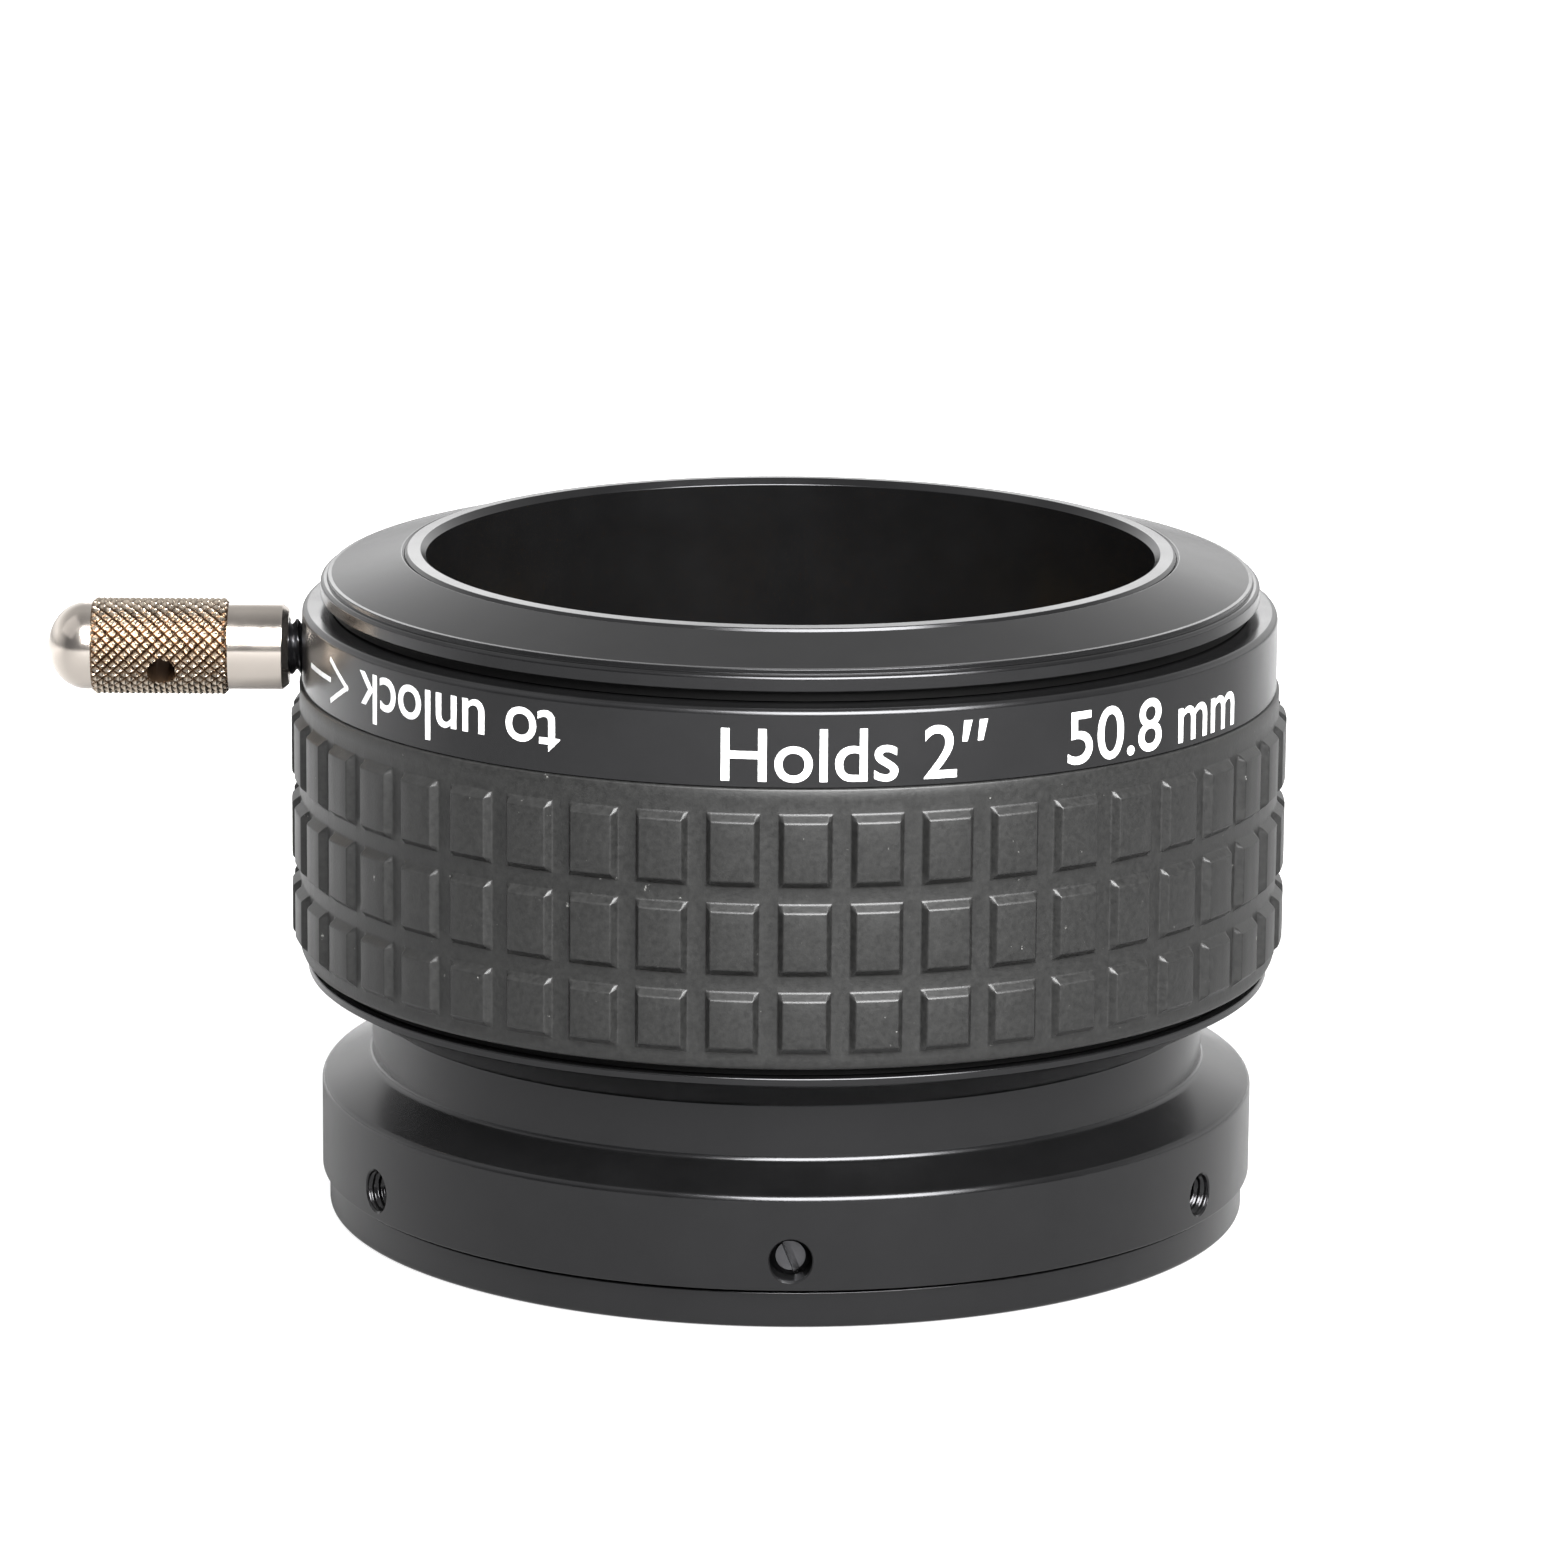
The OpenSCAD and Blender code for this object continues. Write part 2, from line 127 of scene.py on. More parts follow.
def rounded(corners):
    """A closed outline [(r, z, nr, nz), ...] from corners (r, z, radius), with outward normals.

    Corners run anticlockwise in the (r, z) plane. A point is repeated where the normal jumps.
    """
    outline = []
    count = len(corners)
    for i, (r, z, radius) in enumerate(corners):
        here = Vector((r, z))
        before = Vector(corners[i - 1][:2])
        after = Vector(corners[(i + 1) % count][:2])
        way_in = (here - before).normalized()
        way_out = (after - here).normalized()
        normal_in = Vector((way_in.y, -way_in.x))
        normal_out = Vector((way_out.y, -way_out.x))
        turn = math.atan2(way_in.x * way_out.y - way_in.y * way_out.x, way_in.dot(way_out))
        if radius <= 0 or abs(turn) < 0.02:
            outline.append((r, z, normal_in.x, normal_in.y))
            outline.append((r, z, normal_out.x, normal_out.y))
            continue
        setback = radius * math.tan(abs(turn) / 2)
        start = here - way_in * setback
        centre = start + normal_in * (-radius if turn > 0 else radius)
        for k in range(ARC_STEPS + 1):
            swing = turn * k / ARC_STEPS
            normal = Matrix.Rotation(swing, 2) @ normal_in
            point = centre + normal * (radius if turn > 0 else -radius)
            outline.append((point.x, point.y, normal.x, normal.y))
    return outline


def new_object(name, verts, faces):
    """A smooth mesh object from vertices in mm."""
    mesh = bpy.data.meshes.new(name)
    mesh.from_pydata([[c * MM for c in v] for v in verts], [], faces)
    mesh.validate()
    mesh.shade_smooth()
    piece = bpy.data.objects.new(name, mesh)
    bpy.context.scene.collection.objects.link(piece)
    return piece


def merged(outline):
    """The outline without its repeated points."""
    points = []
    for point in outline:
        if not points or math.dist(point[:2], points[-1][:2]) > TINY:
            points.append(point)
    if math.dist(points[0][:2], points[-1][:2]) < TINY:
        points.pop()
    return points


def ring_of_columns(columns, count):
    """Quads that join each column to the next one round a ring; a column is a closed outline."""
    faces = []
    for column in range(columns):
        here, there = column * count, (column + 1) % columns * count
        for i in range(count):
            j = (i + 1) % count
            faces.append((here + i, there + i, there + j, here + j))
    return faces


def turn(name, corners, steps=STEPS):
    """A watertight turned part about +Z from rounded corners."""
    outline = rounded(corners)
    points = merged(outline)
    verts = []
    for s in range(steps):
        a = 2 * math.pi * s / steps
        verts += [(p[0] * math.cos(a), p[0] * math.sin(a), p[1]) for p in points]
    piece = new_object(name, verts, ring_of_columns(steps, len(points)))
    outline_normals(piece, outline)
    return piece


def turn_open(name, outline, steps):
    """A turned solid whose outline of (r, z) points starts and ends on the axis."""
    inner = [point for point in outline if point[0] > TINY]
    low, high = outline[0][1], outline[-1][1]
    count = len(inner)
    verts = [(0, 0, low), (0, 0, high)]
    for s in range(steps):
        a = 2 * math.pi * s / steps
        verts += [(r * math.cos(a), r * math.sin(a), z) for r, z in inner]
    faces = []
    for s in range(steps):
        here, there = 2 + s * count, 2 + (s + 1) % steps * count
        faces.append((0, there, here))
        faces.append((1, here + count - 1, there + count - 1))
        faces += [(here + i, there + i, there + i + 1, here + i + 1) for i in range(count - 1)]
    piece = new_object(name, verts, faces)
    piece.data.set_sharp_from_angle(angle=math.radians(40))
    return piece


def read_array(collection, name, width=1, dtype=float):
    """A mesh attribute as an array with one row for each element."""
    values = np.empty(len(collection) * width, dtype)
    collection.foreach_get(name, values)
    return values.reshape(-1, width) if width > 1 else values


def outline_sides(outline):
    """The first and last points of an outline's sides, as rows of (r, z, nr, nz), and their lengths."""
    first = np.array(outline)
    last = np.roll(first, -1, axis=0)
    length = np.hypot(*(last - first)[:, :2].T)
    real = length > TINY
    return first[real], last[real], length[real]


def nearest_sides(mesh, first, last, length):
    """For each face, the nearest side of the outline that faces the same way, and how far off it is."""
    facing = read_array(mesh.polygons, "normal", 3)
    middle = read_array(mesh.polygons, "center", 3) / MM
    middle_r = np.hypot(middle[:, 0], middle[:, 1])
    radial = middle[:, :2] / np.maximum(middle_r, TINY)[:, None]
    flat_facing = np.stack([(facing[:, :2] * radial).sum(1), facing[:, 2]], 1)
    here = np.stack([middle_r, middle[:, 2]], 1)
    best = np.full(len(here), np.inf)
    owner = np.zeros(len(here), int)
    for k, (start, end) in enumerate(zip(first[:, :2], last[:, :2])):
        along = (end - start) / length[k]
        share = np.clip(((here - start) @ along) / length[k], 0, 1)
        gap = np.hypot(*(here - start - share[:, None] * (end - start)).T)
        outwards = np.array([along[1], -along[0]])
        gap = gap + 10 * (1 - flat_facing @ outwards)
        closer = gap < best
        best[closer] = gap[closer]
        owner[closer] = k
    return owner, best


def outline_normals(piece, outline):
    """Gives every face that lies on the turned outline the outline's own normals."""
    mesh = piece.data
    if "custom_normal" in mesh.attributes:
        mesh.attributes.remove(mesh.attributes["custom_normal"])
    mesh.shade_smooth()
    mesh.set_sharp_from_angle(angle=math.radians(30))
    first, last, length = outline_sides(outline)
    owner, off = nearest_sides(mesh, first, last, length)

    total = read_array(mesh.polygons, "loop_total", dtype=int)
    face_of_corner = np.repeat(np.arange(len(total)), total)
    corner_vertex = read_array(mesh.loops, "vertex_index", dtype=int)
    place = read_array(mesh.vertices, "co", 3)[corner_vertex] / MM
    radius = np.hypot(place[:, 0], place[:, 1])
    k = owner[face_of_corner]
    point = np.stack([radius, place[:, 2]], 1)
    along = (last - first)[k, :2] / length[k][:, None]
    share = np.clip(((point - first[k, :2]) * along).sum(1) / length[k], 0, 1)[:, None]
    blended = first[k, 2:] * (1 - share) + last[k, 2:] * share
    blended /= np.maximum(np.hypot(*blended.T), TINY)[:, None]
    radial = place[:, :2] / np.maximum(radius, TINY)[:, None]
    normals = read_array(mesh.corner_normals, "vector", 3)
    on_outline = (off < 0.2)[face_of_corner]
    made = np.concatenate([blended[:, :1] * radial, blended[:, 1:]], 1)
    normals[on_outline] = made[on_outline]
    mesh.normals_split_custom_set(normals.tolist())


CUT_PAST = 1.0             # how far a cutting tool reaches past the wall it opens


def cylinder(name, radius, length, place, steps, flare=0.0):
    """A closed cylinder along +Z of place, for cutting. flare is the chamfer it leaves at its far end."""
    rings = [(radius, 0.0), (radius, length)]
    if flare:
        rings = [(radius, 0.0), (radius, length - CUT_PAST - flare), (radius + flare + CUT_PAST, length)]
    verts = [(r * math.cos(2 * math.pi * s / steps), r * math.sin(2 * math.pi * s / steps), z)
             for r, z in rings for s in range(steps)]
    faces = [tuple(reversed(range(steps))),
             tuple((len(rings) - 1) * steps + s for s in range(steps))]
    for k in range(len(rings) - 1):
        for s in range(steps):
            t = (s + 1) % steps
            faces.append((k * steps + s, k * steps + t, (k + 1) * steps + t, (k + 1) * steps + s))
    tool = new_object(name, verts, faces)
    tool.matrix_world = in_metres(place)
    return tool


def in_metres(place):
    """A place in mm, for an object whose mesh is in metres."""
    return Matrix.Translation(place.translation * MM) @ place.to_3x3().to_4x4()


def radial_place(azimuth, height, distance):
    """A frame whose +Z points outwards along a radius, at a height and a distance from the axis."""
    a = math.radians(azimuth)
    out = Vector((math.cos(a), math.sin(a), 0))
    side = Vector((-math.sin(a), math.cos(a), 0))
    up = Vector((0, 0, 1))
    turned = Matrix((side, up, out)).transposed().to_4x4()
    return Matrix.Translation(out * distance + up * height) @ turned


def box_tool(name, size, place):
    """A closed box centred on place, for cutting."""
    x, y, z = (s / 2 for s in size)
    verts = [(i * x, j * y, k * z) for i in (-1, 1) for j in (-1, 1) for k in (-1, 1)]
    faces = [(0, 1, 3, 2), (4, 6, 7, 5), (0, 4, 5, 1), (2, 3, 7, 6), (0, 2, 6, 4), (1, 5, 7, 3)]
    tool = new_object(name, verts, faces)
    tool.matrix_world = in_metres(place)
    return tool


def cut(piece, tools):
    """Subtracts closed tools from a piece and removes them."""
    for tool in tools:
        modifier = piece.modifiers.new("cut", "BOOLEAN")
        modifier.operation = "DIFFERENCE"
        modifier.solver = "EXACT"
        modifier.object = tool
    bpy.context.view_layer.update()
    graph = bpy.context.evaluated_depsgraph_get()
    mesh = bpy.data.meshes.new_from_object(piece.evaluated_get(graph))
    piece.modifiers.clear()
    old = piece.data
    piece.data = mesh
    bpy.data.meshes.remove(old)
    for tool in tools:
        bpy.data.objects.remove(tool)


def threaded(name, plain, start, length, pitch, crest, root, steps, inside=False):
    """A closed threaded tube along +Z.

    One wall is a helical V between the radii crest and root. The other is plain, at its own radius.
    """
    per_pitch = 8          # mesh rows in each turn of the thread
    flat = 0.12            # share of half a pitch that stays flat at the crest and at the root
    run_out = 0.6 * pitch  # where the thread fades at both ends
    rows = int(round(length / pitch * per_pitch))
    verts = []
    for s in range(steps):
        a = 2 * math.pi * s / steps
        for row in range(rows + 1):
            z = length * row / rows
            phase = (z / pitch - s / steps) % 1.0
            depth = abs(2 * phase - 1)
            fade = min(1.0, z / run_out, (length - z) / run_out)
            flank = min(1.0, max(0.0, (depth - flat) / (1 - 2 * flat)))
            r = crest + (root - crest) * (flank if fade >= 1 else 1 - fade * (1 - flank))
            verts.append((r * math.cos(a), r * math.sin(a), start + z))
        verts.append((plain * math.cos(a), plain * math.sin(a), start + length))
        verts.append((plain * math.cos(a), plain * math.sin(a), start))
    faces = ring_of_columns(steps, rows + 3)
    if inside:
        faces = [face[::-1] for face in faces]
    piece = new_object(name, verts, faces)
    piece.data.set_sharp_from_angle(angle=math.radians(50))
    return piece


# ---------------------------------------------------------------- materials

class Nodes:
    """A small helper that adds and wires shader nodes."""

    def __init__(self, name):
        self.material = bpy.data.materials.new(name)
        self.material.use_nodes = True
        self.tree = self.material.node_tree
        self.shader = self.tree.nodes["Principled BSDF"]

    def add(self, kind, **settings):
        """A new node; settings name its inputs or its properties."""
        made = self.tree.nodes.new("ShaderNode" + kind)
        for key, value in settings.items():
            if key in made.inputs:
                made.inputs[key].default_value = value
            else:
                setattr(made, key, value)
        return made

    def link(self, source, output, target, socket):
        """Wires an output of one node to a socket of another."""
        self.tree.links.new(source.outputs[output], target.inputs[socket])

    def set(self, **values):
        """Sets plain inputs of the material's shader."""
        for key, value in values.items():
            self.shader.inputs[key.replace("_", " ")].default_value = value

    def place(self):
        """The piece's own coordinates, in metres."""
        return self.add("TexCoord")

    def rings(self, spacing):
        """Noise that is the same all the way round the optical axis, like turning marks."""
        place = self.add("SeparateXYZ")
        self.link(self.place(), "Object", place, "Vector")
        flat = self.add("CombineXYZ")
        self.link(place, "X", flat, "X")
        self.link(place, "Y", flat, "Y")
        radius = self.add("VectorMath", operation="LENGTH")
        self.link(flat, "Vector", radius, "Vector")
        profile = self.add("CombineXYZ")
        self.link(radius, "Value", profile, "X")
        self.link(place, "Z", profile, "Z")
        noise = self.add("TexNoise", Scale=1 / (spacing * MM), Detail=2.0, Roughness=0.6)
        self.link(profile, "Vector", noise, "Vector")
        return noise

    def noise(self, scale, detail=3.0, stretch=(1, 1, 1)):
        """Noise over the piece; scale is per metre."""
        mapping = self.add("Mapping")
        mapping.inputs["Scale"].default_value = stretch
        self.link(self.place(), "Object", mapping, "Vector")
        noise = self.add("TexNoise", Scale=scale, Detail=detail, Roughness=0.6)
        self.link(mapping, "Vector", noise, "Vector")
        return noise

    def ramp(self, source, output, low, high, start=0.0, end=1.0):
        """Maps a value to a range of values or colours."""
        ramp = self.add("ValToRGB")
        first, last = ramp.color_ramp.elements
        first.position, last.position = start, end
        first.color = low if isinstance(low, tuple) else (low, low, low, 1)
        last.color = high if isinstance(high, tuple) else (high, high, high, 1)
        self.link(source, output, ramp, "Fac")
        return ramp

    def bump(self, source, output, distance, strength=1.0, chain=None):
        """Relief from a value, over the relief of chain; distance is in metres."""
        bump = self.add("Bump", Strength=strength, Distance=distance)
        self.link(source, output, bump, "Height")
        if chain is not None:
            self.link(chain, "Normal", bump, "Normal")
        return bump


def grey(value, tint=(1, 1, 1)):
    """A grey as an opaque colour, with an optional tint."""
    return tuple(value * t for t in tint) + (1,)


def anodised(name, level, roughness):
    """Satin black anodised aluminium with faint turning lines and handling marks."""
    tint = (1.0, 1.0, 1.03)
    m = Nodes(name)
    m.set(Metallic=0.0, IOR=1.5, Specular_IOR_Level=0.42)
    m.shader.inputs["Specular Tint"].default_value = (0.97, 0.97, 1.0, 1)
    clouds = m.noise(260, 4)
    colour = m.ramp(clouds, "Fac", grey(level * 0.85, tint), grey(level * 1.2, tint), 0.3, 0.7)
    m.link(colour, "Color", m.shader, "Base Color")
    smudge = m.noise(90, 5)
    rough = m.ramp(smudge, "Fac", roughness * 0.86, roughness * 1.16, 0.3, 0.72)
    m.link(rough, "Color", m.shader, "Roughness")
    # turning lines: fine rings along the axis, and a grain too small to see singly
    rings = m.bump(m.rings(0.09), "Fac", 0.000003, 0.3)
    grain = m.noise(9000, 2)
    satin = m.bump(grain, "Fac", 0.000003, 0.35, rings)
    m.link(satin, "Normal", m.shader, "Normal")
    return m.material


def rubber():
    """Black moulded rubber: a satin skin with a fine mottle and a few specks of dust."""
    m = Nodes("grip_rubber")
    m.set(Metallic=0.0, IOR=1.5, Specular_IOR_Level=0.42)
    mottle = m.noise(2600, 4)
    skin = m.ramp(mottle, "Fac", grey(0.005, (1, 1, 0.97)), grey(0.013, (1, 1, 0.97)), 0.3, 0.72)
    dust = m.ramp(m.noise(1500, 6), "Fac", 0.0, 1.0, 0.70, 0.76)
    mix = m.add("MixRGB")
    mix.inputs["Color2"].default_value = grey(0.16, (1, 1, 0.95))
    m.link(dust, "Color", mix, "Fac")
    m.link(skin, "Color", mix, "Color1")
    m.link(mix, "Color", m.shader, "Base Color")
    rough = m.ramp(mottle, "Fac", 0.36, 0.48)
    m.link(rough, "Color", m.shader, "Roughness")
    grain = m.bump(m.noise(5200, 3), "Fac", 0.00002, 0.5)
    m.link(grain, "Normal", m.shader, "Normal")
    return m.material


def metal(name, colour, roughness, grain=0.25, anisotropic=0.0, stretch=(1, 1, 1), scale=4000):
    """Bare or plated metal with a directional grain."""
    m = Nodes(name)
    m.set(Metallic=1.0, Anisotropic=anisotropic)
    patch = m.noise(300, 4)
    tone = m.ramp(patch, "Fac", tuple(c * 0.88 for c in colour) + (1,), colour + (1,), 0.25, 0.7)
    m.link(tone, "Color", m.shader, "Base Color")
    rough = m.ramp(patch, "Fac", roughness * 0.8, roughness * 1.25, 0.3, 0.7)
    m.link(rough, "Color", m.shader, "Roughness")
    lines = m.bump(m.noise(scale, 2, stretch), "Fac", 0.000008, grain)
    m.link(lines, "Normal", m.shader, "Normal")
    return m.material


def knurled_nickel():
    """Nickel plate over a knurl: bright nubs with brownish dirt down in the grooves."""
    m = Nodes("nickel_knurl")
    m.set(Metallic=1.0)
    place = m.add("SeparateXYZ")
    m.link(m.place(), "Object", place, "Vector")
    height = m.add("Math", operation="SUBTRACT")
    height.inputs[1].default_value = LEVER_Z * MM
    m.link(place, "Z", height, 0)
    across = m.add("CombineXYZ")
    m.link(place, "Y", across, "X")
    m.link(height, "Value", across, "Y")
    radius = m.add("VectorMath", operation="LENGTH")
    m.link(across, "Vector", radius, "Vector")
    share = m.add("MapRange")
    share.inputs["From Min"].default_value = (KNURL_R - KNURL_DEPTH) * MM
    share.inputs["From Max"].default_value = KNURL_R * MM
    m.link(radius, "Value", share, "Value")
    tone = m.ramp(share, "Result", (0.16, 0.10, 0.06, 1), (0.60, 0.52, 0.43, 1), 0.1, 0.7)
    m.link(tone, "Color", m.shader, "Base Color")
    rough = m.ramp(m.noise(1200, 3), "Fac", 0.16, 0.34, 0.3, 0.7)
    m.link(rough, "Color", m.shader, "Roughness")
    worn = m.bump(m.noise(2500, 3), "Fac", 0.00006, 0.9)
    m.link(worn, "Normal", m.shader, "Normal")
    return m.material


def plastic(name, level):
    """Black acetal, painted darker and given less shine than the real plastic, as painted shade for the
    deep gap it sits in.
    """
    m = Nodes(name)
    m.set(Metallic=0.0, IOR=1.48, Specular_IOR_Level=0.08)
    tone = m.ramp(m.noise(900, 3), "Fac", level * 0.8, level * 1.2)
    m.link(tone, "Color", m.shader, "Base Color")
    m.link(m.ramp(m.noise(500, 3), "Fac", 0.42, 0.6), "Color", m.shader, "Roughness")
    m.link(m.bump(m.noise(3000, 2), "Fac", 0.00001, 0.3), "Normal", m.shader, "Normal")
    return m.material


def ink():
    """White screen-printed ink, a little thin in places."""
    m = Nodes("white_print")
    m.set(Metallic=0.0, IOR=1.45)
    tone = m.ramp(m.noise(1500, 4), "Fac", grey(0.62), grey(0.80), 0.3, 0.6)
    m.link(tone, "Color", m.shader, "Base Color")
    m.link(m.ramp(m.noise(800, 3), "Fac", 0.5, 0.65), "Color", m.shader, "Roughness")
    return m.material


BLACK = anodised("black_anodised", 0.003, 0.22)
SLEEVE_BLACK = anodised("sleeve_anodised", 0.004, 0.24)
RUBBER = rubber()
# the slip washers' black plastic, painted near black and nearly without shine, as painted shade in their
# gap
SHADED_PLASTIC = plastic("black_plastic", 0.003)
NICKEL = metal("nickel_plate", (0.67, 0.61, 0.55), 0.20, 0.3, 0.3, (300, 1, 1), 60)
KNURL = knurled_nickel()
BRASS = metal("brass", (0.78, 0.56, 0.24), 0.28, 0.3, 0.2, (1, 1, 200), 60)
STEEL = metal("ground_steel", (0.60, 0.60, 0.62), 0.22, 0.2)
WIRE = metal("spring_steel", (0.50, 0.50, 0.52), 0.3, 0.2)
# unplated metal inside the lever's cross hole, painted dark brown as painted shade for the narrow hole
SHADED_HOLE = metal("drilled_brass_painted_shade", (0.16, 0.10, 0.06), 0.5, 0.2)
DARK_STEEL = metal("black_steel", (0.10, 0.10, 0.105), 0.34, 0.3)
INK = ink()


def finish_piece(piece, material, slot, body, *nodes):
    """Paints a piece, fixes it to its body and lets it stand for CAD nodes."""
    piece.data.materials.clear()
    piece.data.materials.append(material)
    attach(piece, body)
    if nodes:
        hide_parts(*nodes)


# ---------------------------------------------------------------- base ring

def base_ring():
    """The ring that screws onto the telescope, with the groove that the grub screws press into."""
    flange_top = 2.5
    spigot_r = 30.4
    groove = 1.1           # depth and half height of the V groove
    root = THREAD_R + 0.6
    piece = turn("base_ring_turned", [
        (root, 0, 0.05), (BASE_R, 0, 0.3), (BASE_R, flange_top, 0.12), (spigot_r, flange_top, 0.0),
        (spigot_r, GRUB_Z - groove, 0.05), (spigot_r - groove, GRUB_Z, 0.05),
        (spigot_r, GRUB_Z + groove, 0.05), (spigot_r, SPIGOT_TOP, 0.2), (root, SPIGOT_TOP, 0.1),
    ])
    finish_piece(piece, BLACK, "black_anodised", "base", "base_ring")
    thread = threaded("base_ring_thread", root + 0.02, 0.05, SPIGOT_TOP - 0.1, pitch=1.0,
                      crest=THREAD_R, root=root, steps=192, inside=True)
    finish_piece(thread, BLACK, "black_anodised", "base")


# ---------------------------------------------------------------- clamp body

def clamp_body():
    """The skirt, neck, flange, tube and lip in one turned piece, with its holes and windows."""
    skirt_top, neck_low, neck_high = 9.24, 10.82, 14.68
    flange_under, flange_edge = (33.75, 17.17), (FLANGE_R, 17.3)
    tube_top = 43.16
    cap_thread_top = RING_SEAT - 0.02
    groove_r, groove_low, groove_high = 27.5, 25.9, 34.1      # holds the brass segments
    socket_top = SPIGOT_TOP + 0.1
    corners = [
        (SOCKET_R, SKIRT_BOTTOM, 0.1), (SKIRT_R, SKIRT_BOTTOM, 0.12), (SKIRT_R, skirt_top, 0.55),
        (NECK_R, neck_low, 0.55), (NECK_R, neck_high, 0.25), (*flange_under, 0.12),
        (*flange_edge, 0.05), (FLANGE_R, FLANGE_TOP, 0.14),
        (TUBE_R, FLANGE_TOP, 0.0), (TUBE_R, tube_top, 0.05), (CAP_THREAD_R, tube_top, 0.0),
        (CAP_THREAD_R, cap_thread_top, 0.05), (LIP_R, cap_thread_top, 0.0), (LIP_R, LIP_TOP - 0.3, 0.1),
        (LIP_R - 0.16, LIP_TOP - 0.05, 0.12), (BORE_R + 0.4, LIP_TOP, 0.1),
        (BORE_R, LIP_TOP - 0.45, 0.12),
        (BORE_R, groove_high, 0.05), (groove_r, groove_high, 0.0), (groove_r, groove_low, 0.0),
        (BORE_R, groove_low, 0.05), (BORE_R, socket_top, 0.15), (SOCKET_R, socket_top, 0.0),
    ]
    piece = turn("clamp_body_turned", corners)
    reach = SKIRT_R - SOCKET_R + 2 * CUT_PAST
    tools = [cylinder(f"tapped_{i}", GRUB_R + 0.02, reach,
                      radial_place(azimuth, GRUB_Z, SOCKET_R - CUT_PAST), 48, 0.12)
             for i, azimuth in enumerate(HOLES)]
    window, window_r = (3.1, 7.8, 5.0), 28.5
    tools += [box_tool(f"window_{i}", window, radial_place(azimuth, ROLLER_Z, window_r))
              for i, azimuth in enumerate(STATIONS)]
    cut(piece, tools)
    outline_normals(piece, rounded(corners))
    finish_piece(piece, BLACK, "black_anodised", "clamp_body", "clamp_body")


def spare_threads():
    """The visible screw thread inside each tapped hole that holds no grub screw."""
    depth = SKIRT_R - SOCKET_R - 0.3
    for i, azimuth in enumerate(HOLES):
        if any(abs((a - azimuth + 180) % 360 - 180) < 1 for a in GRUB_AZIMUTH.values()):
            continue
        thread = threaded(f"tapped_thread_{i}", GRUB_R + 0.015, 0.0, depth, pitch=0.5,
                          crest=1.24, root=GRUB_R, steps=40, inside=True)
        thread.matrix_world = in_metres(radial_place(azimuth, GRUB_Z, SOCKET_R + 0.12))
        finish_piece(thread, BLACK, "black_anodised", "clamp_body")


# ---------------------------------------------------------------- front ring

def front_ring():
    """The screwed ring that keeps the sleeve on: a rim, a small step and a cone up to the lip."""
    wall = LIP_R + 0.02
    thread = CAP_THREAD_R + 0.02
    rim_top = 45.02
    step_r = 32.42
    piece = turn("front_ring_turned", [
        (thread, RING_LOW, 0.05), (RING_R, RING_LOW, 0.14), (RING_R, rim_top, 0.3),
        (step_r, rim_top + 0.02, 0.04), (step_r - 0.04, RING_SEAT - 0.01, 0.06),
        (step_r - 0.32, RING_SEAT + 0.02, 0.04), (wall + 0.2, RING_TOP, 0.08),
        (wall, RING_TOP - 0.14, 0.05), (wall, RING_SEAT, 0.0), (thread, RING_SEAT, 0.0),
    ])
    finish_piece(piece, BLACK, "black_anodised", "clamp_body", "front_ring")


# ---------------------------------------------------------------- sleeve

def twist_sleeve():
    """The sleeve that turns to clamp, with the grip's seat, the printed band and the stud's hole."""
    bore = TUBE_R + 0.05
    band_low, band_high = GRIP_TOP + 0.02, 43.04
    slope_in = 33.2        # radius at which the band's upper slope ends
    corners = [
        (bore, SLEEVE_LOW, 0.1), (SEAT_R, SLEEVE_LOW, 0.1), (SEAT_R, band_low, 0.0),
        (BAND_R, band_low, 0.08), (BAND_R, band_high, 0.48), (slope_in, SLEEVE_TOP, 0.02),
        (bore, SLEEVE_TOP, 0.1),
    ]
    piece = turn("twist_sleeve_turned", corners)
    stud_r, stud_long = 2.0, 8.0
    from_inside = radial_place(180, LEVER_Z, bore - 2.5)
    cut(piece, [cylinder("stud_hole", stud_r, stud_long, from_inside, 64, 0.15)])
    outline_normals(piece, rounded(corners))
    finish_piece(piece, SLEEVE_BLACK, "sleeve_anodised", "sleeve", "twist_sleeve")


# ---------------------------------------------------------------- rubber grip

PAD_FLANK_UP = 0.48        # height of a pad's upper and lower flanks
PAD_FLANK_ROUND = 0.36     # width of its left and right flanks
PAD_CREASE = 0.2           # share of a flank that its rounded edges take


def flank_samples(low, high, flank):
    """Stations across one pad: close together at both creases of each flank, two on top."""
    shares = (-PAD_CREASE, -PAD_CREASE / 3, PAD_CREASE / 3, PAD_CREASE,
              1 - PAD_CREASE, 1 - PAD_CREASE / 3, 1 + PAD_CREASE / 3, 1 + PAD_CREASE)
    rise = [low + flank * share for share in shares]
    fall = [high - flank * share for share in reversed(shares)]
    return rise + [low + (high - low) * share for share in (0.4, 0.6)] + fall


def flank_height(x, low, high, flank):
    """1 on a pad's top and 0 beside it, with a straight flank and softened creases between."""
    share = min(x - low, high - x) / flank
    if share <= -PAD_CREASE:
        return 0.0
    if share < PAD_CREASE:
        return (share + PAD_CREASE) ** 2 / (4 * PAD_CREASE)
    if share <= 1 - PAD_CREASE:
        return share
    if share < 1 + PAD_CREASE:
        return 1 - (1 + PAD_CREASE - share) ** 2 / (4 * PAD_CREASE)
    return 1.0


